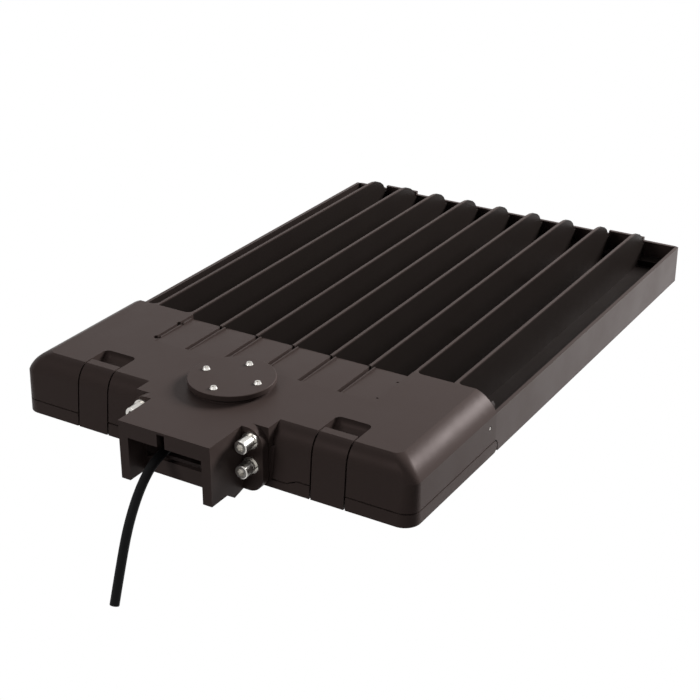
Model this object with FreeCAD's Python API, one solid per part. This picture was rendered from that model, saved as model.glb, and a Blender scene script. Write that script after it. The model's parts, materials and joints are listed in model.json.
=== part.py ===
import FreeCAD
import Part
import math
import os

# Shoebox area light: a die-cast driver housing with a drop-down door and two latches, bolted to
# a finned heat sink that carries the LED boards, on a short arm bracket for a pole.
# Everything is first drawn about the driver housing: x across, y away from the pole with 0 on
# the housing's front face, z up with 0 on its underside. put() then moves each piece so that
# the origin is the middle of the bracket's pole face.

# ---- driving dimensions, mm ----
width = 330.0                 # across the housing and the heat sink
length = 486.0                # front face to far wall
top = 46.5                    # deck and fin crests
shoulder = 31.6               # where the upright walls end and the sloping faces begin
deck_far = 120.5              # far edge of the deck, where the heat sink is bolted on
foot_front = -1.3             # the front wall leans back: its place at the foot
shoulder_front = 1.8          # and at the shoulder
front_slope = 12.0            # near edge of the deck
side_slope = 16.5             # sloping face, measured in from each side
slope_bulge = 2.4             # how far the sloping faces swell from flat
near_corner = 12.0            # upright corners at the latch end, at the foot
shoulder_corner = 8.5         # the same corners at the shoulder
deck_corner = 6.0             # and at the deck's edge
far_corner = 5.0              # upright corners at the far end
wall = 3.0
deck = 3.5                    # thickness of the housing's top
seam = 1.0                    # gap round the door
running = 0.05                # radial clearance of a pin in its bore
seat = 0.3                    # gap left between a seal and the face it meets

door_height = 9.4
door_plate = 3.0
door_dip = 3.6                # the door's front edge is this much lower beside the bracket
dip_half = 68.0               # half width of that lower stretch
dip_ramp = 8.0
hinge_y = 118.8
hinge_radius = door_height / 2
hinge_pin_radius = 2.0
ear_thickness = 6.0
ear_inset = 5.0               # housing ear to the outer side face
door_swing = 85.0

latch_inset = 65.0            # middle of each latch to the side face
latch_slot = 28.2             # slot in the housing that the latch fills
latch_gap = 1.2               # open seam on each side of a latch
latch_thickness = 3.0
latch_lip_end = 18.5          # the lip on the deck ends here
latch_pin_y = 3.2
latch_pin_z = 4.0
latch_back = 4.0              # rounded back of the latch's square foot, about its pin
latch_rib_depth = 8.5         # the ribs behind the latch reach this far back
latch_pin_radius = 1.5
latch_swing = 100.0
latch_sweep_gap = 0.6         # room for the closed latch to swing out with the door
pocket_end = 36.4
pocket_depth = 8.0
pocket_corner = 4.5

fin_count = 9
fin_pitch = 33.0
fin_crest = 2.2
fin_root = 3.4
fin_end_y = 449.0             # crests are level up to here
fin_end_drop = 29.0           # length of the rounded far end
fin_web = 5.0                 # fillet between an outer fin and the deck's far edge
floor_top = 13.0
floor_under = 9.0
far_wall = 30.8
far_tab = 3.0                 # raised tabs on the far wall
ledge_top = 18.0
ledge_depth = 14.0
screw_boss_radius = 4.5
screw_boss_height = 4.0
screw_boss_first = 21.5       # first row of bosses, from the deck's far edge
screw_boss_pitch = 124.0
screw_boss_side = 10.5        # from the fin beside it

slot_width = 3.6
slot_shift = 1.8              # slots sit this much to one side of their fins
slot_depth = 8.0
slot_start = 67.0
slot_start_by_cap = 76.0      # the slot behind the cap is shorter
slot_lip = 1.3                # wall left standing along each slot
panel_near = 0.3              # depth of the sunk panels at their near edge
panel_far_left = 1.5          # and at their far edge, beside the slot's lip
panel_far_right = 0.7
step_depth = 7.1              # the deck stops this much short of the fins behind the panels
step_floor = 42.0
key_hole_radius = 2.8
key_hole_inset = 69.4         # keyhole to the side face
key_slot_half = 1.4
key_hole_rows = (73.0, 101.7)
pin_hole_radius = 0.9

cap_x = -2.5
cap_y = 38.0
cap_radius = 31.7
cap_thickness = 4.0
cap_seat_radius = 29.6
cap_seat_height = 0.8
cap_seal_radius = 28.5
cap_seal_height = 1.6
cap_hole_radius = 19.0
cap_screw_radius = 22.0
cap_screw_head = 2.8
cap_screw_length = 14.0

arm_reach = 45.5              # pole face to the housing's front face
arm_width = 76.0
arm_wall = 7.5
arm_top = 3.0
arm_low = 1.6                 # underside of the bracket's side walls
arm_tooth_y = 26.0            # lowest corner of each side wall, from the pole face
arm_tooth = 4.5               # how far that corner drops under the housing
arm_foot = 2.2                # flange bottom, under the housing
flange_width = 109.0
flange_thickness = 6.5
flange_corner = 12.0
pole_bar = 11.7               # height of the bar across the pole face
pole_bar_depth = 4.0
pole_notch = 6.3
pole_notch_x = -2.5
sill_y = 16.8                 # cross sill inside the bracket, from the pole face
sill_depth = 4.0
sill_low = 2.2
sill_high = 14.0
neck_out = 2.5                # the housing's neck stands this much proud of its front
neck_depth = 14.0
neck_fillet = 3.0             # hollow curve from the neck's flanks into the front wall
arm_screw_x = 45.7
arm_screw_rows = (19.0, 37.8)
arm_screw_radius = 3.0
arm_screw_length = 20.0
arm_head_radius = 5.0
arm_head_height = 8.0
flat_washer_radius = 6.2
flat_washer_height = 2.0
lock_washer_radius = 5.1
lock_washer_height = 3.2
mount_height = 24.0           # middle of the pole face above the housing's underside

cord_diameter = 6.8
cord_x = -12.0
cord_exit_y = -16.0           # face of the gland that the cord leaves
cord_z = 24.5
gland_radius = 6.0
gland_nut = 17.0              # across flats
cord_route = [                # from the pole face's middle: x, y, z
    (-12.0, 29.5, 0.5),
    (-12.0, 7.5, -1.5),
    (-12.0, -11.5, -14.5),
    (-12.0, -27.0, -36.5),
    (-12.0, -38.0, -63.5),
    (-12.0, -47.5, -90.2),
]

driver_size = (190.0, 37.0, 24.0)
driver_x = -20.0
driver_y = 85.0
driver_ear = 8.0
driver_screw_length = 6.0
surge_size = (40.0, 34.0, 22.0)
surge_inset = 42.0            # its middle to the side face
surge_y = 76.0
joint_screw_radius = 2.0
joint_screw_z = 24.0
joint_screw_columns = (55.0, 135.0)
grommet_radius = 5.0
grommet_z = 22.0
side_screw_y = 111.4
side_screw_z = 23.4
block_size = (40.0, 20.0, 18.0)
block_x = 56.0
block_y = 46.0
lead_radius = 1.3

led_columns = 4
led_rows = 7
led_pitch_x = 33.0
led_pitch_y = 46.0
led_size = 5.0
led_height = 0.8
board_thickness = 1.6
lens_plate = 2.0
lens_gap = 3.0                # half of the space between the two lenses
lens_edge = 6.0               # from the heat sink's outline to the lens
lens_band = 8.0               # edge that the seal and the screws take
dome_base = 10.0
dome_top = 6.5
dome_height = 2.8
lens_screw_radius = 1.5
lens_screw_rows = 4
lens_screw_length = 7.5
joint_screw_length = 6.5

os.makedirs("parts", exist_ok=True)
half = width / 2
hinge_z = hinge_radius
housing_low = door_height + seam
latch_x = half - latch_inset
key_hole_x = half - key_hole_inset
step_left = -key_hole_x - key_slot_half
step_right = (fin_count // 2 - 1) * fin_pitch - fin_crest / 2 - seat
surge_x = half - surge_inset
inside_top = top - deck
roof_low = step_floor - 3.1
rib_low = top - slot_depth - 3.0
rear_wall = deck_far - wall
step_y = deck_far - step_depth


# ---- small drawing helpers ----
def V(x, y, z):
    return FreeCAD.Vector(x, y, z)


def box(x0, x1, y0, y1, z0, z1):
    return Part.makeBox(x1 - x0, y1 - y0, z1 - z0, V(x0, y0, z0))


def rod(start, end, radius):
    axis = end - start
    return Part.makeCylinder(radius, axis.Length, start, axis)


def cone(start, end, radius_start, radius_end):
    axis = end - start
    return Part.makeCone(radius_start, radius_end, axis.Length, start, axis)


def prism(points, direction):
    return Part.Face(Part.makePolygon(points + points[:1])).extrude(direction)


def prism_x(profile, x0, x1):
    return prism([V(x0, y, z) for y, z in profile], V(x1 - x0, 0, 0))


def hexagon_rod(centre, axis, flats, height):
    corner = flats / math.sqrt(3)
    points = []
    for turn in range(6):
        angle = math.radians(60 * turn)
        points.append(centre + V(corner * math.cos(angle), 0, corner * math.sin(angle)))
    return prism(points, axis * height)


def turned(shape, angle):
    turned_shape = shape.copy()
    turned_shape.rotate(V(0, 0, 0), V(0, 0, 1), angle)
    return turned_shape


def mirrored(shape):
    return shape.mirror(V(0, 0, 0), V(1, 0, 0))


def both_sides(shape):
    return [shape, mirrored(shape)]


def moved(shape, x, y, z):
    copy = shape.copy()
    copy.translate(V(x, y, z))
    return copy


def joined(shapes):
    return shapes[0].fuse(shapes[1:]).removeSplitter()


def to_mount(shape):
    return moved(shape, 0, arm_reach, -mount_height)


def put(name, *shapes):
    shape = shapes[0] if len(shapes) == 1 else Part.makeCompound(list(shapes))
    placed = to_mount(shape)
    placed.exportStep("parts/%s.step" % name)
    solids = placed.Solids
    volume = sum(solid.Volume for solid in solids)
    print("%-20s %2d solid(s) %10.1f mm3" % (name, len(solids), volume), placed.isValid())


# ---- the housing's outer form, also used smaller for its hollow ----
def plan(side, front, far, radius, z):
    # outline seen from above: square at the far end, rounded at the two near corners
    x = half - side
    bend = radius * (1 - math.sqrt(0.5))
    a, b = V(-x, far, z), V(-x, front + radius, z)
    c, d = V(-x + radius, front, z), V(x - radius, front, z)
    e, f = V(x, front + radius, z), V(x, far, z)
    left = Part.Arc(b, V(-x + bend, front + bend, z), c)
    right = Part.Arc(d, V(x - bend, front + bend, z), e)
    edges = [
        Part.LineSegment(a, b), left, Part.LineSegment(c, d),
        right, Part.LineSegment(e, f), Part.LineSegment(f, a),
    ]
    return Part.Wire([edge.toShape() for edge in edges])


def lean(z):
    return foot_front + (shoulder_front - foot_front) * z / shoulder


def near_radius(z):
    return near_corner + (shoulder_corner - near_corner) * z / shoulder


def walls_form(inset, low, high, far):
    # upright sides with a front that leans back
    sections = [plan(inset, lean(z) + inset, far, near_radius(z) - inset, z) for z in (low, high)]
    return Part.makeLoft(sections, True, True)


def shell_form(inset, low, lid, far):
    # the walls, then swollen sloping faces up to the deck
    chord_side = math.hypot(side_slope, top - shoulder)
    chord_front = math.hypot(front_slope - shoulder_front, top - shoulder)
    swell_side = side_slope / 2 - slope_bulge * (top - shoulder) / chord_side
    swell_front = (front_slope + shoulder_front) / 2 - slope_bulge * (top - shoulder) / chord_front
    crease = shoulder - 0.4 * inset
    ceiling = top - lid
    middle = (crease + ceiling) / 2 + slope_bulge * 0.7
    spread = 0.87 * inset
    walls = walls_form(inset, low, crease, far)
    sections = [
        plan(inset, lean(crease) + inset, far, near_radius(crease) - inset, crease),
        plan(swell_side + spread, swell_front + spread, far, (shoulder_corner + deck_corner) / 2, middle),
        plan(side_slope + spread, front_slope + spread, far, deck_corner, ceiling),
    ]
    return walls.fuse(Part.makeLoft(sections, True, False))


def hinge_disc(radius, x0, x1):
    return rod(V(x0, hinge_y, hinge_z), V(x1, hinge_y, hinge_z), radius)


# ---- latch bay: the closed latch swings out of it with the door ----
lip_reach = math.hypot(hinge_y - latch_lip_end, top - latch_thickness - hinge_z)
bay_radius = lip_reach - latch_sweep_gap
slot_x0 = latch_x - latch_slot / 2
slot_x1 = latch_x + latch_slot / 2
latch_sweep = math.hypot(latch_pin_y - foot_front, latch_pin_z) + latch_sweep_gap


def latch_axis_rod(radius, past_slot):
    y, z = latch_pin_y, latch_pin_z
    return rod(V(slot_x0 - past_slot, y, z), V(slot_x1 + past_slot, y, z), radius)


def pocket_profile(back, floor):
    # finger pocket behind the lip: level floor, then a quarter round up to the deck
    centre_y = back - pocket_depth
    corner = math.sqrt(0.5) * pocket_depth
    quarter = Part.Arc(
        V(0, centre_y, floor),
        V(0, centre_y + corner, floor + pocket_depth - corner),
        V(0, back, floor + pocket_depth),
    )
    near = latch_lip_end - 4
    corners = [
        V(0, back, floor + pocket_depth), V(0, back, top + 1),
        V(0, near, top + 1), V(0, near, floor), V(0, centre_y, floor),
    ]
    edges = [Part.makeLine(corners[i], corners[i + 1]) for i in range(4)]
    edges.append(quarter.toShape())
    return Part.Face(Part.Wire(Part.__sortEdges__(edges)))


def finger_pocket():
    floor = top - pocket_depth
    body = pocket_profile(pocket_end, floor).extrude(V(latch_slot, 0, 0))
    body.translate(V(slot_x0, 0, 0))
    upright = [
        edge for edge in body.Edges
        if abs(edge.BoundBox.YMin - pocket_end) < 0.01 and edge.BoundBox.ZLength > 0.5
        and edge.BoundBox.XLength < 0.01 and edge.BoundBox.YLength < 0.01
    ]
    return body.makeFillet(pocket_corner, upright)


def latch_bay(grow):
    outside = box(slot_x0 - grow, slot_x1 + grow, foot_front - 9, hinge_y, 0, top + 5)
    bay = outside.cut(hinge_disc(bay_radius - grow, slot_x0 - grow - 1, slot_x1 + grow + 1))
    pocket = box(slot_x0 - grow, slot_x1 + grow, 5, pocket_end + grow, top - pocket_depth - grow, top + 5)
    return bay.fuse(pocket) if grow else bay.fuse(finger_pocket())


# ---- driver housing ----
def slot_cutters():
    cutters = []
    lips = []
    for index in range(-2, 3):
        x = index * fin_pitch + slot_shift
        start = slot_start_by_cap if index == 0 else slot_start
        x0, x1 = x - slot_width / 2, x + slot_width / 2
        cutters.append(box(x0, x1, start, step_y + 1, top - slot_depth, top + 1))
        lips.append(box(x1, x1 + slot_lip, start, step_y, top - 3, top))
    lip_x = -key_hole_x + key_slot_half
    lips.append(box(lip_x, lip_x + slot_lip, key_hole_rows[0], step_y, top - 3, top))
    return cutters, lips


def key_slot():
    near = key_hole_rows[0]
    x = -key_hole_x
    holes = [
        rod(V(x, row, top - slot_depth), V(x, row, top + 1), key_hole_radius)
        for row in key_hole_rows
    ]
    run = box(x - key_slot_half, x + key_slot_half, near, step_y + 1, top - slot_depth, top + 1)
    small = [
        rod(V(key_hole_x, row, top - slot_depth), V(key_hole_x, row, top + 1), pin_hole_radius)
        for row in key_hole_rows
    ]
    return holes + [run] + small


def sunk_panels():
    # one between each pair of slots, a little deeper beside the slot on its left
    lefts = [-key_hole_x + key_slot_half + slot_lip]
    rights = []
    for index in range(-2, 3):
        x = index * fin_pitch + slot_shift
        rights.append(x - slot_width / 2)
        lefts.append(x + slot_width / 2 + slot_lip)
    rights.append(step_right)
    panels = []
    for x0, x1 in zip(lefts, rights):
        ends = []
        for y, left, right in (
            (slot_start, panel_near, panel_near), (step_y + 1, panel_far_left, panel_far_right),
        ):
            corners = [V(x0, y, top - left), V(x1, y, top - right), V(x1, y, top + 1), V(x0, y, top + 1)]
            ends.append(Part.makePolygon(corners + corners[:1]))
        panels.append(Part.makeLoft(ends, True, True))
    return panels


def hinge_ear(x0):
    ear = rod(V(x0, hinge_y, hinge_z), V(x0 + ear_thickness, hinge_y, hinge_z), hinge_radius)
    stem = box(
        x0, x0 + ear_thickness, hinge_y - hinge_radius, deck_far,
        hinge_z, housing_low + wall,
    )
    ear = ear.fuse(stem)
    ear = ear.cut(box(x0 - 1, x0 + ear_thickness + 1, deck_far, deck_far + 9, -5, 30))
    return ear.cut(hinge_disc(hinge_pin_radius + running, x0 - 1, x0 + ear_thickness + 1))


ear_x = half - ear_inset - ear_thickness


def neck():
    # block that the bracket's flange bolts against, with the deck carried over it
    foot = housing_low - door_dip
    half_neck = flange_width / 2 + 1
    return box(-half_neck, half_neck, -neck_out, neck_depth, foot, top)


def neck_flare():
    # hollow fillet between the neck's flank and the front wall, up to the shoulder
    x = flange_width / 2 + 1
    r = neck_fillet + lean(shoulder) - foot_front
    centre = V(x + r, -neck_out, 0)
    bend = r * math.sqrt(0.5)
    low = housing_low - door_dip
    arc = Part.Arc(V(x, -neck_out, low), V(centre.x - bend, bend - neck_out, low), V(centre.x, r - neck_out, low))
    corner = V(x, r - neck_out, low)
    edges = [arc.toShape(), Part.makeLine(V(centre.x, r - neck_out, low), corner)]
    edges.append(Part.makeLine(corner, V(x, -neck_out, low)))
    return Part.Face(Part.Wire(edges)).extrude(V(0, 0, shoulder - low))


def cap_screw_places():
    centre = V(cap_x, cap_y, 0)
    return [turned(Part.Vertex(cap_screw_radius, 0, 0), 90 * turn).Point + centre for turn in range(4)]


def driver_housing():
    outer = shell_form(0, housing_low, 0, deck_far)
    hollow = shell_form(wall, housing_low - 1, deck, rear_wall)

    ring = box(-half, half, foot_front, deck_far, housing_low, housing_low + wall)
    rim = seal_width / 2 + 1.5
    ring = ring.cut(box(
        -seal_half + rim, seal_half - rim, seal_front + rim, seal_back - rim, 0, housing_low + wall + 1,
    ))
    cutters, lips = slot_cutters()
    ribs = []
    for index in range(-2, 3):
        x = index * fin_pitch + slot_shift
        ribs.append(box(x - 5, x + 5, slot_start - 4, step_y + wall, rib_low, top))
    for row in key_hole_rows:
        for x in (-key_hole_x, key_hole_x):
            ribs.append(rod(V(x, row, rib_low), V(x, row, top), 6))
    ribs.append(box(-key_hole_x - 5, -key_hole_x + 5, key_hole_rows[0], deck_far, rib_low, top))
    for x in driver_ear_places():
        ribs.append(rod(V(x, driver_y, rib_low), V(x, driver_y, top), 4))
    roof = box(step_left - 3, step_right + 3, step_y - wall, deck_far, roof_low, top)
    bosses = [rod(V(p.x, p.y, inside_top - 7), V(p.x, p.y, top), 3.6) for p in cap_screw_places()]
    keep = both_sides(latch_bay(wall)) + ribs + bosses + [ring, roof, neck()]
    body = outer.cut(hollow.cut(keep))

    # the front wall's skirt follows the dip in the door below it
    skirt = walls_form(0, housing_low - door_dip, housing_low + 1, deck_far)
    skirt = skirt.cut(walls_form(wall, housing_low - door_dip - 1, housing_low + 2, rear_wall))
    near = foot_front - 1
    dip = [
        V(-dip_half - dip_ramp, near, housing_low), V(-dip_half, near, housing_low - door_dip),
        V(dip_half, near, housing_low - door_dip), V(dip_half + dip_ramp, near, housing_low),
        V(dip_half, near, housing_low + 1), V(-dip_half, near, housing_low + 1),
    ]
    body = body.fuse([neck(), skirt.common(prism(dip, V(0, wall + 3, 0)))] + both_sides(neck_flare()))
    cap_seat = rod(V(cap_x, cap_y, top - 1), V(cap_x, cap_y, top + cap_seat_height), cap_seat_radius)
    ears = both_sides(hinge_ear(ear_x))

    step = box(step_left, step_right, step_y, deck_far + 1, step_floor, top + 1)
    body = body.cut(sunk_panels() + [step])
    body = body.fuse(lips)
    body = body.cut(cutters + key_slot() + both_sides(latch_bay(0)))
    body = body.fuse([cap_seat] + ears)

    holes = [rod(V(cap_x, cap_y, inside_top - 2), V(cap_x, cap_y, top + 3), cap_hole_radius)]
    for p in cap_screw_places():
        holes.append(rod(V(p.x, p.y, inside_top - 6), V(p.x, p.y, top + 3), lens_screw_radius + running))
    holes.append(rod(V(cord_x, -neck_out - 1, cord_z), V(cord_x, neck_depth + 1, cord_z), gland_radius + running))
    for x in (-arm_screw_x, arm_screw_x):
        for z in arm_screw_rows:
            holes.append(rod(V(x, -neck_out - 1, z), V(x, neck_depth - 2, z), arm_screw_radius + running))
    for x, z in joint_screw_places():
        holes.append(rod(V(x, rear_wall - 1, z), V(x, deck_far + 1, z), joint_screw_radius + 0.2))
    holes.append(rod(V(0, rear_wall - 1, grommet_z), V(0, deck_far + 1, grommet_z), grommet_radius))
    for x in driver_ear_places():
        holes.append(rod(V(x, driver_y, rib_low - 1), V(x, driver_y, rib_low + 5), 1.5 + running))
    side_hole = rod(V(half - 1.0, side_screw_y, side_screw_z), V(half + 1, side_screw_y, side_screw_z), 1.6)
    side_hole = side_hole.fuse(
        rod(V(half - 2.2, side_screw_y, side_screw_z), V(half, side_screw_y, side_screw_z), 1.0 + running))
    return body.cut(holes + both_sides(side_hole)).removeSplitter()


# ---- what joins the two castings ----
def joint_screw_places():
    near, far = joint_screw_columns
    return [(x, joint_screw_z) for x in (-far, -near, near, far)]


def pan_screw(head_at, into, shank_radius, head_radius, head_height, shank_length):
    # head_at is under the head, into the unit direction of the shank
    head = cone(head_at, head_at - into * head_height, head_radius, head_radius * 0.72)
    shank = rod(head_at - into * 0.2, head_at + into * shank_length, shank_radius)
    tip = head_at - into * head_height
    recess = rod(tip, tip + into * (head_height * 0.55), head_radius * 0.34)
    return head.fuse(shank).cut(recess).removeSplitter()


# ---- heat sink ----
def fin_solid(x):
    # drafted blade, root wider than crest, with the far end rounded down to the wall
    # the middle fins also reach over the step behind the housing's panels
    reach = step_y + seat if step_left < x < step_right else deck_far
    blade = [
        V(x - fin_root / 2, reach, floor_top - 1), V(x + fin_root / 2, reach, floor_top - 1),
        V(x + fin_crest / 2, reach, top), V(x - fin_crest / 2, reach, top),
    ]
    blade = prism(blade, V(0, length - wall - reach, 0))
    steps = 6
    drop = top - far_wall
    profile = [
        (deck_far, floor_top - 2), (deck_far, step_floor + seat), (reach, step_floor + seat),
        (reach, top), (fin_end_y, top),
    ]
    for step in range(1, steps + 1):
        angle = math.pi / 2 * step / steps
        profile.append((fin_end_y + fin_end_drop * math.sin(angle), far_wall - 1 + (drop + 1) * math.cos(angle)))
    profile += [(length - 1, far_wall - 1), (length - 1, floor_top - 2)]
    return blade.common(prism_x(profile, x - 5, x + 5))


def outer_fin_web(x):
    # hollow fillet, seen from above, where an outer fin meets the deck's far edge
    side = x + fin_crest / 2
    far = deck_far + fin_web
    bend = fin_web * (1 - math.sqrt(0.5))
    low = roof_low
    arc = Part.Arc(
        V(side + fin_web, deck_far, low), V(side + bend, deck_far + bend, low), V(side, far, low))
    inner = x - fin_crest / 2
    edges = [
        arc.toShape(), Part.makeLine(V(side, far, low), V(inner, far, low)),
        Part.makeLine(V(inner, far, low), V(inner, deck_far, low)),
        Part.makeLine(V(inner, deck_far, low), V(side + fin_web, deck_far, low)),
    ]
    return Part.Face(Part.Wire(edges)).extrude(V(0, 0, top - low))


def tray_outline(inset, radius, z):
    x = half - inset
    far = length - inset
    bend = radius * (1 - math.sqrt(0.5))
    corners = [
        Part.LineSegment(V(-x, deck_far, z), V(-x, far - radius, z)),
        Part.Arc(V(-x, far - radius, z), V(-x + bend, far - bend, z), V(-x + radius, far, z)),
        Part.LineSegment(V(-x + radius, far, z), V(x - radius, far, z)),
        Part.Arc(V(x - radius, far, z), V(x - bend, far - bend, z), V(x, far - radius, z)),
        Part.LineSegment(V(x, far - radius, z), V(x, deck_far, z)),
        Part.LineSegment(V(x, deck_far, z), V(-x, deck_far, z)),
    ]
    return Part.Face(Part.Wire([edge.toShape() for edge in corners]))


def heat_sink():
    body = tray_outline(0, far_corner, 0).extrude(V(0, 0, shoulder))
    body = body.cut(tray_outline(wall, far_corner - wall, floor_top).extrude(V(0, 0, 60)))
    body = body.cut(box(-half - 1, half + 1, length - wall - 0.01, length + 1, far_wall, 60))
    front = box(-half + wall, half - wall, deck_far, deck_far + wall, floor_top - 1, roof_low)
    front = front.common(shell_form(0, 0, 0, deck_far + wall))
    ledge = box(-half + wall, half - wall, length - wall - ledge_depth, length - 1, floor_top - 1, ledge_top)
    tab_x = (fin_count - 1) / 2 * fin_pitch
    tab = box(tab_x - fin_pitch, tab_x, length - wall, length, far_wall - 1, far_wall + far_tab)
    fins = [fin_solid((i - (fin_count - 1) / 2) * fin_pitch) for i in range(fin_count)]
    bosses = []
    boss_x = fin_pitch * 2 + screw_boss_side
    for row in range(3):
        y = deck_far + screw_boss_first + row * screw_boss_pitch
        for x in (-boss_x, boss_x):
            bosses.append(rod(V(x, y, floor_top - 1), V(x, y, floor_top + screw_boss_height), screw_boss_radius))
    webs = both_sides(outer_fin_web(fin_pitch * 3)) + both_sides(outer_fin_web(fin_pitch * 4))
    body = body.fuse([front, ledge] + both_sides(tab) + fins + webs + bosses)
    recess = tray_outline(4.0, far_corner - 4.0, -1).extrude(V(0, 0, floor_under + 1))
    recess = recess.cut(box(-half, half, 0, deck_far + lens_edge, -5, 20))
    recess = recess.cut(box(-lens_gap + 0.6, lens_gap - 0.6, 0, length, floor_under - lens_stack, 20))
    door_room = hinge_radius + seam
    cutters = [recess, hinge_disc(door_room, -half - 1, half + 1)]
    cutters.append(box(-half - 1, half + 1, deck_far - 1, hinge_y + door_room, -1, hinge_z))
    for x, z in joint_screw_places():
        cutters.append(rod(V(x, deck_far - 1, z), V(x, deck_far + wall + 1, z), joint_screw_radius + running))
    cutters.append(rod(V(0, deck_far - 1, grommet_z), V(0, deck_far + wall + 1, grommet_z), grommet_radius))
    for x, y in lens_screw_places():
        cutters.append(rod(V(x, y, floor_under - 1), V(x, y, floor_top - 0.8), lens_screw_radius + running))
    cutters.append(rod(V(0, deck_far + 11, 0), V(0, deck_far + 11, floor_top + 1), 2.5))
    return body.cut(cutters).removeSplitter()


# ---- optics and LEDs, one set each side of the middle ----
seal_height = floor_under - 3.5 - lens_plate
lens_stack = seal_height + lens_plate
lens_x0 = lens_gap
lens_x1 = half - lens_edge
lens_y0 = deck_far + lens_edge + 2.0
lens_y1 = length - lens_edge - 1.0
lens_low = floor_under - lens_stack


def led_places():
    middle_x = (lens_x0 + lens_x1) / 2
    middle_y = (lens_y0 + lens_y1) / 2
    places = []
    for column in range(led_columns):
        for row in range(led_rows):
            x = middle_x + (column - (led_columns - 1) / 2) * led_pitch_x
            y = middle_y + (row - (led_rows - 1) / 2) * led_pitch_y
            places.append((x, y))
    return places


def lens_screw_places():
    places = []
    step = (lens_y1 - lens_y0 - lens_band) / (lens_screw_rows - 1)
    for row in range(lens_screw_rows):
        y = lens_y0 + lens_band / 2 + row * step
        for x in (lens_x0 + lens_band / 2, lens_x1 - lens_band / 2):
            places += [(x, y), (-x, y)]
    return places


def lens_plate_solid():
    plate = box(lens_x0, lens_x1, lens_y0, lens_y1, lens_low, lens_low + lens_plate)
    corners = [edge for edge in plate.Edges if edge.BoundBox.ZLength > 1]
    plate = plate.makeFillet(3.0, corners)
    domes = [
        cone(V(x, y, lens_low + 0.5), V(x, y, lens_low - dome_height), dome_base, dome_top)
        for x, y in led_places()
    ]
    plate = plate.fuse(domes)
    holes = [
        rod(V(x, y, lens_low - 1), V(x, y, lens_low + lens_plate + 1), lens_screw_radius + 0.2)
        for x, y in lens_screw_places() if x > 0
    ]
    return plate.cut(holes).removeSplitter()


def lens_seal():
    ring = box(lens_x0, lens_x1, lens_y0, lens_y1, lens_low + lens_plate, floor_under)
    band = lens_band
    ring = ring.cut(box(lens_x0 + band, lens_x1 - band, lens_y0 + band, lens_y1 - band, 0, floor_under + 1))
    holes = [
        rod(V(x, y, 0), V(x, y, floor_under + 1), lens_screw_radius + 0.2)
        for x, y in lens_screw_places() if x > 0
    ]
    return ring.cut(holes)


def led_board():
    gap = lens_band + 1.0
    return box(
        lens_x0 + gap, lens_x1 - gap, lens_y0 + gap, lens_y1 - gap,
        floor_under - board_thickness, floor_under,
    )


def led_chips():
    under = floor_under - board_thickness
    chips = []
    for x, y in led_places():
        for side in (-x, x):
            r = led_size / 2
            chips.append(box(side - r, side + r, y - r, y + r, under - led_height, under))
    return chips


# ---- door ----
def door():
    body = walls_form(0, 0, door_plate, hinge_y)
    rim = walls_form(0, 0, door_height, hinge_y)
    rim = rim.cut(walls_form(wall, -1, door_height + 1, hinge_y + 1))
    curl = hinge_disc(hinge_radius, -half, half).cut(
        hinge_disc(hinge_radius - door_plate, -half + wall, half - wall))
    curl = curl.cut(box(-half + wall, half - wall, 0, hinge_y, -1, 20))
    curl = curl.cut(box(-half + wall, half - wall, 0, 200, hinge_z, 20))
    cheek = box(ear_x + ear_thickness + 0.5, half, hinge_y - 9, hinge_y, 0, door_height)
    cheek = cheek.fuse(hinge_disc(hinge_radius, ear_x + ear_thickness + 0.5, half))
    seal_rib = box(-seal_half - 1.2, seal_half + 1.2, seal_front - 1.2, seal_back + 1.2, 0, door_height - 2.2)
    seal_rib = seal_rib.cut(box(-seal_half + 1.2, seal_half - 1.2, seal_front + 1.2, seal_back - 1.2, -1, 30))
    stiffeners = [
        box(x - 1, x + 1, seal_front, seal_back, 0, door_plate + 2.2) for x in (-90, -30, 30, 90)
    ]
    latch_cheeks = []
    for x0 in (slot_x0 - 5, slot_x1):
        latch_cheeks.append(box(x0, x0 + 5, 0, latch_pin_y + latch_sweep + 1, 0, door_height))
    cheeks = [piece for shape in latch_cheeks + [cheek] for piece in both_sides(shape)]
    body = body.fuse([rim, curl, seal_rib] + stiffeners + cheeks)

    ear_slot = box(
        ear_x - 0.5, ear_x + ear_thickness + 0.5, hinge_y - hinge_radius - 0.8,
        hinge_y + hinge_radius + 1, -1, 20,
    )
    near = foot_front - 1
    notch = box(slot_x0, slot_x1, near, latch_pin_y, -1, 30)
    notch = notch.fuse(latch_axis_rod(latch_sweep, 0))
    notch = notch.fuse(box(slot_x0, slot_x1, near, latch_pin_y + latch_sweep, latch_pin_z, 30))
    cutters = both_sides(ear_slot) + both_sides(notch)
    cutters += both_sides(hinge_disc(hinge_pin_radius + running, ear_x - 2, half - 1.5))
    cutters += both_sides(latch_axis_rod(latch_pin_radius + running, 4))
    dip = [
        V(-dip_half - dip_ramp, near, door_height), V(-dip_half, near, door_height - door_dip),
        V(dip_half, near, door_height - door_dip), V(dip_half + dip_ramp, near, door_height),
        V(dip_half, near, 20), V(-dip_half, near, 20),
    ]
    cutters.append(prism(dip, V(0, wall + 2.5, 0)))
    return body.cut(cutters).removeSplitter()


seal_half = half - 10.0
seal_front = 20.5
seal_back = 109.5
seal_width = 4.0


def door_seal():
    w = seal_width / 2
    z0, z1 = door_height - 2.2, housing_low - seat
    outer = box(-seal_half - w, seal_half + w, seal_front - w, seal_back + w, z0, z1)
    return outer.cut(box(-seal_half + w, seal_half - w, seal_front + w, seal_back - w, z0 - 1, z1 + 1))


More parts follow.
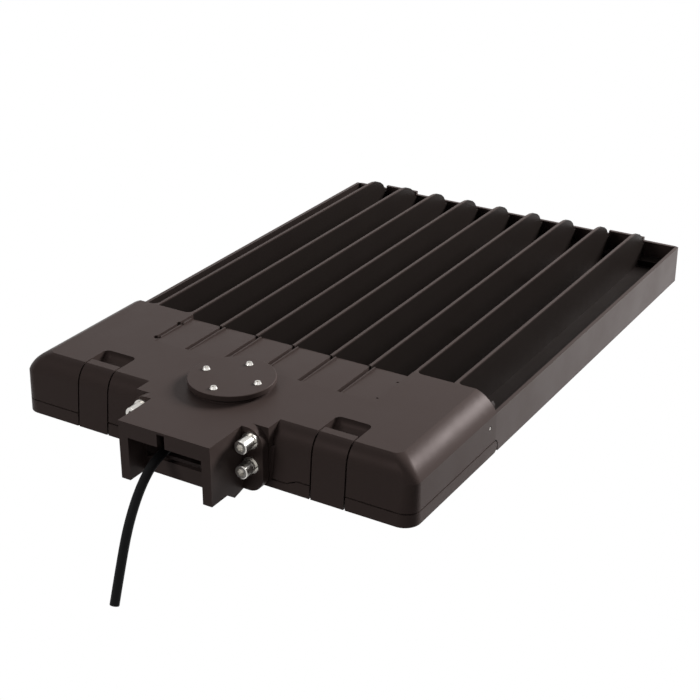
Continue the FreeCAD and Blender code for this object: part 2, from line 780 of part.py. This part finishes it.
# ---- latches ----
def latch():
    x0, x1 = slot_x0 + latch_gap, slot_x1 - latch_gap
    solid_form = shell_form(0, 0, 0, 60)
    skin = solid_form.cut(shell_form(latch_thickness, -1, latch_thickness, 59))
    near = foot_front - 1
    band = skin.common(box(x0, x1, near, latch_lip_end, -1, top + 1))
    foot = solid_form.common(box(x0, x1, near, latch_pin_y, -1, 2 * latch_pin_z))
    back = latch_axis_rod(latch_back, -latch_gap)
    ribs = []
    inner = shell_form(latch_thickness - 0.5, 0, latch_thickness - 0.5, 60)
    for rib_x in (x0, x1 - 2):
        rib = box(rib_x, rib_x + 2, 1, latch_rib_depth, latch_pin_z, top - 2)
        ribs.append(rib.common(inner))
    body = band.fuse([foot, back] + ribs)
    return body.cut(latch_axis_rod(latch_pin_radius + running, 1)).removeSplitter()


def latch_pin():
    return latch_axis_rod(latch_pin_radius, 3.8)


# ---- cap over the control receptacle ----
cap_low = top + cap_seat_height + cap_seal_height


def cap():
    disc = rod(V(cap_x, cap_y, cap_low), V(cap_x, cap_y, cap_low + cap_thickness), cap_radius)
    rims = [edge for edge in disc.Edges if edge.BoundBox.ZLength < 0.01]
    disc = disc.makeFillet(0.5, rims)
    holes = []
    for p in cap_screw_places():
        holes.append(rod(V(p.x, p.y, 0), V(p.x, p.y, 90), lens_screw_radius + 0.2))
    return disc.cut(holes)


def cap_seal():
    z0 = top + cap_seat_height
    ring = rod(V(cap_x, cap_y, z0), V(cap_x, cap_y, cap_low), cap_seal_radius)
    ring = ring.cut(rod(V(cap_x, cap_y, 0), V(cap_x, cap_y, 90), cap_hole_radius))
    holes = []
    for p in cap_screw_places():
        holes.append(rod(V(p.x, p.y, 0), V(p.x, p.y, 90), lens_screw_radius + 0.2))
    return ring.cut(holes)


# ---- arm bracket ----
def arm_bracket():
    pole = -arm_reach
    flange_back = -neck_out
    flange_front = flange_back - flange_thickness
    side = [
        (pole, top), (pole, arm_low), (pole + 17.5, arm_low), (pole + arm_tooth_y, -arm_tooth),
        (flange_front, -arm_foot), (flange_back, -arm_foot), (flange_back, top),
    ]
    x1 = arm_width / 2
    x0 = x1 - arm_wall
    walls = both_sides(prism_x(side, x0, x1))
    roof = box(-x1, x1, pole, flange_back, top - arm_top, top)
    bar = box(-x1, x1, pole, pole + pole_bar_depth, top - pole_bar, top)
    sill = box(-x1 + 1, x1 - 1, pole + sill_y, pole + sill_y + sill_depth, sill_low, sill_high)
    posts = both_sides(box(x0 - 2, x0 + 1, pole + sill_y, pole + sill_y + sill_depth, sill_low, top - 1))
    w = flange_width / 2
    flange = box(-w, w, flange_front, flange_back, -arm_foot, top)
    corners = [
        edge for edge in flange.Edges
        if edge.BoundBox.YLength > 1 and edge.BoundBox.XLength < 0.01 and edge.BoundBox.ZLength < 0.01
    ]
    flange = flange.makeFillet(flange_corner, corners)
    flange = flange.cut(box(-x0, x0, flange_front - 1, flange_back + 1, sill_low + 3, top - arm_top - 1))
    body = joined([roof, bar, sill, flange] + walls + posts)
    notch = box(
        pole_notch_x - pole_notch / 2, pole_notch_x + pole_notch / 2,
        pole - 1, pole + pole_bar_depth + 1, top - pole_bar - 1, top - 1.8,
    )
    holes = [notch]
    for x in (-arm_screw_x, arm_screw_x):
        for z in arm_screw_rows:
            holes.append(rod(V(x, flange_front - 1, z), V(x, flange_back + 1, z), arm_screw_radius + 0.3))
    return body.cut(holes).removeSplitter()


def arm_fasteners():
    face = -neck_out - flange_thickness
    screws = []
    flats = []
    locks = []
    for x in (-arm_screw_x, arm_screw_x):
        for z in arm_screw_rows:
            y1 = face - flat_washer_height
            y2 = y1 - lock_washer_height
            y3 = y2 - arm_head_height
            head = rod(V(x, y2, z), V(x, y3, z), arm_head_radius)
            rim = [edge for edge in head.Edges if abs(edge.BoundBox.YMin - y3) < 0.01
                   and edge.BoundBox.YLength < 0.01]
            head = head.makeFillet(0.6, rim)
            shank = rod(V(x, y2, z), V(x, y2 + arm_screw_length, z), arm_screw_radius)
            socket = hexagon_rod(V(x, y3 - 0.1, z), V(0, 1, 0), 5.0, 3.0)
            screws.append(head.fuse(shank).cut(socket).removeSplitter())
            bore = rod(V(x, 0, z), V(x, -60, z), arm_screw_radius + 0.2)
            flats.append(rod(V(x, face, z), V(x, y1, z), flat_washer_radius).cut(bore))
            lock = rod(V(x, y1, z), V(x, y2, z), lock_washer_radius).cut(bore)
            split = box(x + 1, x + 9, y2 - 1, y1 + 1, z - 0.5, z + 0.5)
            locks.append(lock.cut(split))
    return screws, flats, locks


# ---- cord, its gland and what is wired inside ----
def cord_gland():
    y0 = -neck_out
    body = hexagon_rod(V(cord_x, y0, cord_z), V(0, -1, 0), gland_nut, 5.0)
    collar = rod(V(cord_x, y0 - 5.0, cord_z), V(cord_x, cord_exit_y + 3.5, cord_z), gland_nut / 2 - 0.6)
    nose = cone(
        V(cord_x, cord_exit_y + 3.5, cord_z), V(cord_x, cord_exit_y, cord_z),
        gland_nut / 2 - 0.6, cord_diameter / 2 + 1.6,
    )
    thread = rod(V(cord_x, y0 - 0.5, cord_z), V(cord_x, neck_depth + 6, cord_z), gland_radius)
    return joined([body, collar, nose, thread])


def gland_nut_solid():
    nut = hexagon_rod(V(cord_x, neck_depth, cord_z), V(0, 1, 0), 19.0, 4.0)
    return nut.cut(rod(V(cord_x, 0, cord_z), V(cord_x, 40, cord_z), gland_radius + running))


def tube(points, radius, label):
    # straight runs joined by tangent arcs, each arc as large as its two runs allow
    edges = []
    radii = []
    here = points[0]
    for before, corner, after in zip(points, points[1:], points[2:]):
        run_in = corner - before
        run_out = after - corner
        turn = run_in.getAngle(run_out)
        shorter = min(run_in.Length, run_out.Length)
        bend = 0.45 * shorter / math.tan(turn / 2)
        setback = 0.45 * shorter
        into = V(*run_in).normalize()
        out = V(*run_out).normalize()
        start = corner - into * setback
        end = corner + out * setback
        inward = (out - into).normalize()
        centre = corner + inward * (bend / math.cos(turn / 2))
        middle = centre - inward * bend
        edges.append(Part.makeLine(here, start))
        edges.append(Part.Arc(start, middle, end).toShape())
        radii.append(bend)
        here = end
    edges.append(Part.makeLine(here, points[-1]))
    path = Part.Wire(edges)
    first = V(*(points[1] - points[0])).normalize()
    ring = Part.Wire([Part.makeCircle(radius, points[0], first)])
    solid = path.makePipeShell([ring], True, False)
    want = math.pi * radius ** 2 * path.Length
    print("%s: length %.1f, radii %s, volume %.4f of section times length" % (
        label, path.Length, ", ".join("%.0f" % r for r in radii), solid.Volume / want))
    return solid


def driver_ear_places():
    reach = driver_size[0] / 2 + driver_ear / 2
    return (driver_x - reach, driver_x + reach)


def led_driver():
    long, deep, high = driver_size
    z1 = rib_low
    case = box(driver_x - long / 2, driver_x + long / 2, driver_y - deep / 2, driver_y + deep / 2, z1 - high, z1)
    edges = [edge for edge in case.Edges if edge.BoundBox.XLength > 10 and edge.BoundBox.ZMax < z1 - 1]
    case = case.makeFillet(3.0, edges)
    reach = long / 2 + driver_ear
    foot = box(driver_x - reach, driver_x + reach, driver_y - 9, driver_y + 9, z1 - 2, z1)
    holes = [rod(V(x, driver_y, z1 - 5), V(x, driver_y, z1 + 1), 1.9) for x in driver_ear_places()]
    return case.fuse(foot).cut(holes).removeSplitter()


def surge_protector():
    long, deep, high = surge_size
    z1 = inside_top
    case = box(surge_x - long / 2, surge_x + long / 2, surge_y - deep / 2, surge_y + deep / 2, z1 - high, z1)
    upright = [edge for edge in case.Edges if edge.BoundBox.ZLength > 5]
    return case.makeFillet(5.0, upright)


def terminal_block():
    long, deep, high = block_size
    z1 = inside_top
    body = box(block_x - long / 2, block_x + long / 2, block_y - deep / 2, block_y + deep / 2, z1 - high, z1)
    step = long / 3
    cuts = []
    for index in (-1, 0, 1):
        x = block_x + index * step
        cuts.append(rod(V(x, block_y, z1 - high - 1), V(x, block_y, z1 - high + 6), 2.6))
        cuts.append(rod(V(x, block_y - deep, z1 - high + 9), V(x, block_y - deep / 2 + 6, z1 - high + 9), 2.0))
    return body.cut(cuts)


def wire_grommet():
    y0, y1 = rear_wall, deck_far + wall
    barrel = rod(V(0, y0 - 2, grommet_z), V(0, y1 + 0.0, grommet_z), grommet_radius - running)
    lip = rod(V(0, y0 - 2, grommet_z), V(0, y0, grommet_z), grommet_radius + 2)
    return joined([barrel, lip])


def supply_leads():
    leads = []
    z_end = inside_top - block_size[2] + 9
    face = block_y - block_size[1] / 2
    for index in (-1, 0, 1):
        start = V(cord_x + 3.4 * index, neck_depth + 6, cord_z - 1.8 * abs(index))
        x_end = block_x + index * block_size[0] / 3
        low = 14.0 + 4.5 * index
        leads.append([
            start, start + V(0, 8, 0),
            V(start.x + 8, 36 - 3 * index, low + 4),
            V(start.x + 24, 38 - 3 * index, low),
            V(x_end - 12, 25.5, low + 3),
            V(x_end, face - 9, z_end),
            V(x_end, face + 5, z_end),
        ])
    return [tube(points, lead_radius, "supply lead") for points in leads]


put("driver_housing", driver_housing())
put("heat_sink", heat_sink())
put("door", door())
put("door_seal", door_seal())
pin = rod(V(ear_x - 1.0, hinge_y, hinge_z), V(half - 1.8, hinge_y, hinge_z), hinge_pin_radius)
put("hinge_pins", *both_sides(pin))
right_latch = latch()
put("latch_right", right_latch)
put("latch_left", mirrored(right_latch))
right_pin = latch_pin()
put("latch_pin_right", right_pin)
put("latch_pin_left", mirrored(right_pin))

put("receptacle_cap", cap())
put("cap_seal", cap_seal())
down = V(0, 0, -1)
cap_top = cap_low + cap_thickness
put("cap_screws", *[
    pan_screw(V(p.x, p.y, cap_top), down, lens_screw_radius, cap_screw_head, 1.5, cap_screw_length)
    for p in cap_screw_places()
])

put("arm_bracket", arm_bracket())
arm_screws, flat_washers, lock_washers = arm_fasteners()
put("arm_screws", *arm_screws)
put("flat_washers", *flat_washers)
put("lock_washers", *lock_washers)

put("cord_gland", cord_gland())
put("gland_locknut", gland_nut_solid())
cord = tube([V(*point) for point in cord_route], cord_diameter / 2, "supply cord")
put("supply_cord", moved(cord, 0, -arm_reach, mount_height))

put("led_driver", led_driver())
up = V(0, 0, 1)
put("driver_screws", *[
    pan_screw(V(x, driver_y, rib_low - 2), up, 1.5, 3.0, 1.8, driver_screw_length)
    for x in driver_ear_places()
])
put("surge_protector", surge_protector())
put("terminal_block", terminal_block())
put("supply_leads", *supply_leads())
put("wire_grommet", wire_grommet())
put("joint_screws", *[
    pan_screw(V(x, rear_wall, z), V(0, 1, 0), joint_screw_radius, 3.6, 2.2, joint_screw_length)
    for x, z in joint_screw_places()
])
side_screw = pan_screw(V(half - 1.0, side_screw_y, side_screw_z), V(-1, 0, 0), 1.0, 1.5, 0.8, 1.0)
put("side_screws", *both_sides(side_screw))

board = led_board()
put("led_board_right", board)
put("led_board_left", mirrored(board))
put("led_chips", *led_chips())
seal = lens_seal()
put("lens_seal_right", seal)
put("lens_seal_left", mirrored(seal))
lens = lens_plate_solid()
put("lens_right", lens)
put("lens_left", mirrored(lens))
put("lens_screws", *[
    pan_screw(V(x, y, lens_low), up, lens_screw_radius, 3.2, 1.6, lens_screw_length)
    for x, y in lens_screw_places()
])

axis = to_mount(Part.Vertex(0, hinge_y, hinge_z)).Point
print("door hinge axis at y %.2f z %.2f" % (axis.y, axis.z))
axis = to_mount(Part.Vertex(0, latch_pin_y, latch_pin_z)).Point
print("latch axis at y %.2f z %.2f" % (axis.y, axis.z))
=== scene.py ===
import json
import math

import bpy
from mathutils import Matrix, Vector


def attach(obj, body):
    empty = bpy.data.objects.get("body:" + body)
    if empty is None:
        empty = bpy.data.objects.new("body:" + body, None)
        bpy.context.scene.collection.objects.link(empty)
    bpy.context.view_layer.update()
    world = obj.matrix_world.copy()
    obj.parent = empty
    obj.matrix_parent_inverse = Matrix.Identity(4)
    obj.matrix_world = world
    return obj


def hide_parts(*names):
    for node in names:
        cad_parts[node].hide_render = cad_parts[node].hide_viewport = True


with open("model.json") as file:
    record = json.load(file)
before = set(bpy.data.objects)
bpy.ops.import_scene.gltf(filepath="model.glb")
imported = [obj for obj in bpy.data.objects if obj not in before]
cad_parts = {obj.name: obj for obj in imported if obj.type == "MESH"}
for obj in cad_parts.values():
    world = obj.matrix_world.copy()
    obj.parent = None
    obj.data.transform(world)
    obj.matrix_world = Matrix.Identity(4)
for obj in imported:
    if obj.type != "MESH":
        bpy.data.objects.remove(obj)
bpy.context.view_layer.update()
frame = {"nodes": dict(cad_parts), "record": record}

mm = 0.001
nodes = frame["nodes"]


def srgb(hexCode):
    values = [int(hexCode[i:i + 2], 16) / 255 for i in (0, 2, 4)]
    linear = [v / 12.92 if v <= 0.04045 else ((v + 0.055) / 1.055) ** 2.4 for v in values]
    return (linear[0], linear[1], linear[2], 1.0)


def addNode(tree, kind, x, y, settings=None, links=None):
    # a link's name may also be the number of its socket
    node = tree.nodes.new(kind)
    node.location = (x, y)
    for name, value in (settings or {}).items():
        if name in node.inputs:
            node.inputs[name].default_value = value
        else:
            setattr(node, name, value)
    for name, socket in (links or {}).items():
        tree.links.new(socket, node.inputs[name])
    return node


def newMaterial(name, colour, roughness, metallic=0.0, grain=None, spread=0.0, extra=None):
    # grain is (size in mm, height in mm) of a fine surface texture
    # spread is how far the roughness wanders, over patches of about 38 mm
    patch = 38
    material = bpy.data.materials.new(name)
    material.use_nodes = True
    tree = material.node_tree
    shader = tree.nodes["Principled BSDF"]
    shader.inputs["Base Color"].default_value = srgb(colour)
    shader.inputs["Roughness"].default_value = roughness
    shader.inputs["Metallic"].default_value = metallic
    for key, value in (extra or {}).items():
        shader.inputs[key].default_value = value
    coords = addNode(tree, "ShaderNodeTexCoord", -1100, 0)
    if grain:
        size, height = grain
        fine = addNode(tree, "ShaderNodeTexNoise", -700, -300, {
            "Scale": 1 / (size * mm), "Detail": 2.0, "Roughness": 0.5,
        }, {"Vector": coords.outputs["Object"]})
        bump = addNode(tree, "ShaderNodeBump", -300, -300, {
            "Strength": 0.6, "Distance": height * mm,
        }, {"Height": fine.outputs["Fac"]})
        tree.links.new(bump.outputs["Normal"], shader.inputs["Normal"])
    if spread:
        broad = addNode(tree, "ShaderNodeTexNoise", -700, 100, {
            "Scale": 1 / (patch * mm), "Detail": 4.0, "Roughness": 0.6,
        }, {"Vector": coords.outputs["Object"]})
        wander = addNode(tree, "ShaderNodeMapRange", -300, 100, {
            "From Min": 0.3, "From Max": 0.7,
            "To Min": roughness - spread, "To Max": roughness + spread,
        }, {"Value": broad.outputs["Fac"]})
        tree.links.new(wander.outputs["Result"], shader.inputs["Roughness"])
    return material


# satin polyester powder coat on die-cast aluminium: dark, with a faint orange peel
coat = {
    "colour": "4a3f3c", "roughness": 0.42, "grain": (0.9, 0.02), "spread": 0.04,
    "extra": {"Specular IOR Level": 0.08, "Specular Tint": srgb("ffdcd8")},
}

# painted shade in the heat sink's channels, where little light reaches: its dark colour and painted sheen,
# then in mm the sides' inner faces, the far wall's inner face, just under the crests, and the floor, each
# with the width of its soft edge
channelShade = {
    "colour": "241f1d",
    "litCrestSheen": 0.12,
    "shadedChannelSheen": 0.05,
    "side": (162.3, -0.4),
    "far": (528.3, -0.4),
    "top": (22.2, -1.2),
    "floor": (-12.0, 0.4),
}


def paintChannelShade(material):
    # paints shade between the fins: the coat there is darkened and its sheen lowered, and the crests get a
    # stronger sheen as a painted highlight
    tree = material.node_tree
    shader = tree.nodes["Principled BSDF"]
    coords = addNode(tree, "ShaderNodeTexCoord", -1500, 500)
    place = addNode(tree, "ShaderNodeSeparateXYZ", -1300, 500, {}, {"Vector": coords.outputs["Object"]})
    across = addNode(tree, "ShaderNodeMath", -1100, 700, {"operation": "ABSOLUTE"}, {0: place.outputs["X"]})
    limits = [
        (across.outputs[0], channelShade["side"], 700),
        (place.outputs["Y"], channelShade["far"], 500),
        (place.outputs["Z"], channelShade["top"], 300),
        (place.outputs["Z"], channelShade["floor"], 100),
    ]
    shadeMask = None
    for source, (edge, fade), y in limits:
        inside = addNode(tree, "ShaderNodeMapRange", -900, y, {
            "From Min": edge * mm, "From Max": (edge + fade) * mm, "To Min": 0.0, "To Max": 1.0,
        }, {"Value": source})
        if shadeMask is None:
            shadeMask = inside.outputs["Result"]
            continue
        both = addNode(tree, "ShaderNodeMath", -700, y, {"operation": "MULTIPLY"}, {
            0: shadeMask, 1: inside.outputs["Result"],
        })
        shadeMask = both.outputs[0]
    # painted shade: the base colour turns to the dark channel colour where the mask is 1
    shadeTone = addNode(tree, "ShaderNodeMix", -300, 500, {"data_type": "RGBA"}, {0: shadeMask})
    shadeTone.inputs[6].default_value = shader.inputs["Base Color"].default_value
    shadeTone.inputs[7].default_value = srgb(channelShade["colour"])
    tree.links.new(shadeTone.outputs[2], shader.inputs["Base Color"])
    # painted highlight and shade: stronger sheen on the crests, weaker sheen in the channels
    paintedSheen = addNode(tree, "ShaderNodeMapRange", -300, 300, {
        "To Min": channelShade["litCrestSheen"], "To Max": channelShade["shadedChannelSheen"],
    }, {"Value": shadeMask})
    tree.links.new(paintedSheen.outputs["Result"], shader.inputs["Specular IOR Level"])


bronzeCoat = newMaterial("bronze powder coat", **coat)
# this copy of the coat carries painted shade in the fin channels
shadedSinkCoat = newMaterial("bronze powder coat on the heat sink", **coat)
paintChannelShade(shadedSinkCoat)

# turned and pressed stainless steel: bright, with fine tool marks
stainless = newMaterial("stainless steel", "c9c6c1", 0.28, metallic=1.0, grain=(0.3, 0.004), spread=0.05)

# zinc plate on steel: paler and duller
zincPlate = newMaterial("zinc plated steel", "b4b4b0", 0.4, metallic=1.0, grain=(0.3, 0.006), spread=0.05)

# extruded rubber jacket: black and nearly matt
cordJacket = newMaterial("cord jacket", "0c0c0d", 0.55, grain=(0.5, 0.02), spread=0.05, extra={
    "Specular IOR Level": 0.1,
})

# moulded silicone: dull black
siliconeSeal = newMaterial("silicone seal", "1b1b1c", 0.7, grain=(0.5, 0.01))

# moulded nylon, black and white: a soft shine
blackNylon = newMaterial("black nylon", "1a1a1a", 0.45, grain=(0.4, 0.01))
whiteNylon = newMaterial("white nylon", "dcdbd6", 0.5, grain=(0.4, 0.01))

# the driver's bare drawn aluminium case
aluminiumCase = newMaterial("aluminium case", "bfc1c4", 0.38, metallic=1.0, grain=(0.3, 0.005), spread=0.05)

# smooth white mask on the LED boards, yellow phosphor on the LEDs, polished clear lenses
boardMask = newMaterial("white solder mask", "e6e7e4", 0.35)
ledPhosphor = newMaterial("LED phosphor", "e0b840", 0.4)
lensAcrylic = newMaterial("clear acrylic lens", "f4f6f8", 0.06, extra={
    "Transmission Weight": 1.0, "IOR": 1.49,
})

slotMaterials = {
    "bronze": bronzeCoat, "stainless": stainless, "zinc": zincPlate, "black_cord": cordJacket,
    "seal": siliconeSeal, "gland_plastic": blackNylon, "driver_case": aluminiumCase,
    "white_plastic": whiteNylon, "board": boardMask, "led": ledPhosphor, "lens": lensAcrylic,
}
for entry in frame["record"]["subparts"]:
    for slot in nodes[entry["node"]].material_slots:
        slot.material = slotMaterials[entry["material_slot"]]
for slot in nodes["heat_sink"].material_slots:
    slot.material = shadedSinkCoat
print("materials", len(slotMaterials) + 1)

# width in mm of the soft edge on the castings, the bracket and its fasteners
softEdges = {
    "driver_housing": 0.5, "heat_sink": 0.35, "door": 0.5, "latch_left": 0.5, "latch_right": 0.5,
    "arm_bracket": 0.6, "receptacle_cap": 0.2, "arm_screws": 0.25, "flat_washers": 0.2,
    "lock_washers": 0.2, "cord_gland": 0.3,
}
sharpestSoftened = math.radians(40)
for name, width in softEdges.items():
    bevel = nodes[name].modifiers.new("softEdge", "BEVEL")
    bevel.width = width * mm
    bevel.segments = 2
    bevel.limit_method = "ANGLE"
    bevel.angle_limit = sharpestSoftened
    bevel.harden_normals = False
print("soft edges", len(softEdges))

cord = {
    "radius": 3.4,
    "length": 128.5,
    "route": [
        (-12.0, 29.5, 0.5),
        (-12.0, 7.5, -1.5),
        (-12.0, -11.5, -14.5),
        (-12.0, -27.0, -36.5),
        (-12.0, -38.0, -63.5),
        (-12.0, -47.5, -90.2),
    ],
}


def smoothCurve(name, points, radius, material):
    data = bpy.data.curves.new(name, "CURVE")
    data.dimensions = "3D"
    spline = data.splines.new("NURBS")
    spline.points.add(len(points) - 1)
    for point, place in zip(spline.points, points):
        point.co = (place[0] * mm, place[1] * mm, place[2] * mm, 1.0)
    spline.order_u = 3
    spline.use_endpoint_u = True
    spline.resolution_u = 24
    data.bevel_depth = radius * mm
    data.bevel_resolution = 8
    data.use_fill_caps = True
    data.materials.append(material)
    piece = bpy.data.objects.new(name, data)
    bpy.context.collection.objects.link(piece)
    return piece


cordPiece = smoothCurve("supplyCord", cord["route"], cord["radius"], cordJacket)
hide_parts("supply_cord")
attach(cordPiece, "light")
print("cord placed")

# the world is white to the camera and in reflections, and sheds no light of its own
world = bpy.data.worlds.new("studio")
bpy.context.scene.world = world
world.use_nodes = True
sky = world.node_tree
backdrop = sky.nodes["Background"]
backdrop.inputs["Color"].default_value = srgb("ffffff")
backdrop.inputs["Strength"].default_value = 1.0
rays = addNode(sky, "ShaderNodeLightPath", -200, 300)
seen = rays.outputs["Is Camera Ray"]
for kind in ("Is Glossy Ray", "Is Transmission Ray"):
    either = addNode(sky, "ShaderNodeMath", 0, 300, {"operation": "MAXIMUM"}, {
        0: seen, 1: rays.outputs[kind],
    })
    seen = either.outputs[0]
choice = addNode(sky, "ShaderNodeMixShader", 200, 0, {}, {"Fac": seen, 2: backdrop.outputs["Background"]})
sky.links.new(choice.outputs["Shader"], sky.nodes["World Output"].inputs["Surface"])

# softboxes: direction from the light's middle, distance in metres, width, height, power in watts
lightMiddle = Vector((0.0, 0.27, 0.0))
softboxes = {
    "rearRight": ((0.45, 0.77, 0.45), 2.2, 0.8, 0.7, 72.0),
    "rearLow": ((0.42, 0.77, -0.48), 2.2, 0.8, 0.8, 0.4),
    "farLow": ((0.24, 0.9, -0.36), 2.2, 0.7, 0.7, 1.7),
    "rightFront": ((0.72, -0.6, 0.35), 1.3, 0.7, 0.7, 0.8),
    "overhead": ((0.1, 0.1, 1.0), 2.2, 1.8, 1.8, 0.5),
    "topLeft": ((-0.45, -0.08, 0.89), 2.2, 1.0, 1.0, 1.5),
    "frontHigh": ((-0.3, -0.8, 0.52), 2.2, 0.7, 0.7, 8.0),
    "frontLow": ((-0.26, -0.91, -0.32), 2.2, 0.7, 0.7, 0.3),
}
for name, (toward, distance, wide, high, power) in softboxes.items():
    data = bpy.data.lights.new(name, "AREA")
    data.shape = "RECTANGLE"
    data.size = wide
    data.size_y = high
    data.energy = power
    lamp = bpy.data.objects.new(name, data)
    way = Vector(toward).normalized()
    lamp.location = lightMiddle + way * distance
    lamp.rotation_euler = (-way).to_track_quat("-Z", "Y").to_euler()
    bpy.context.collection.objects.link(lamp)

view = {
    "lens": 79.37,                          # mm, on a sensor 36 mm wide
    "place": (0.5696, -0.7048, 0.5177),     # metres
    "downward": 25.769,                     # degrees below level
    "turn": 31.070,                         # degrees to the left of straight along the light
}
camera = bpy.data.objects.new("camera", bpy.data.cameras.new("camera"))
camera.data.lens = view["lens"]
camera.data.sensor_width = 36.0
camera.data.clip_end = 20
camera.location = view["place"]
camera.rotation_euler = (math.radians(90 - view["downward"]), 0, math.radians(view["turn"]))
bpy.context.collection.objects.link(camera)
bpy.context.scene.camera = camera
bpy.context.scene.view_settings.view_transform = "Standard"
print("camera set")
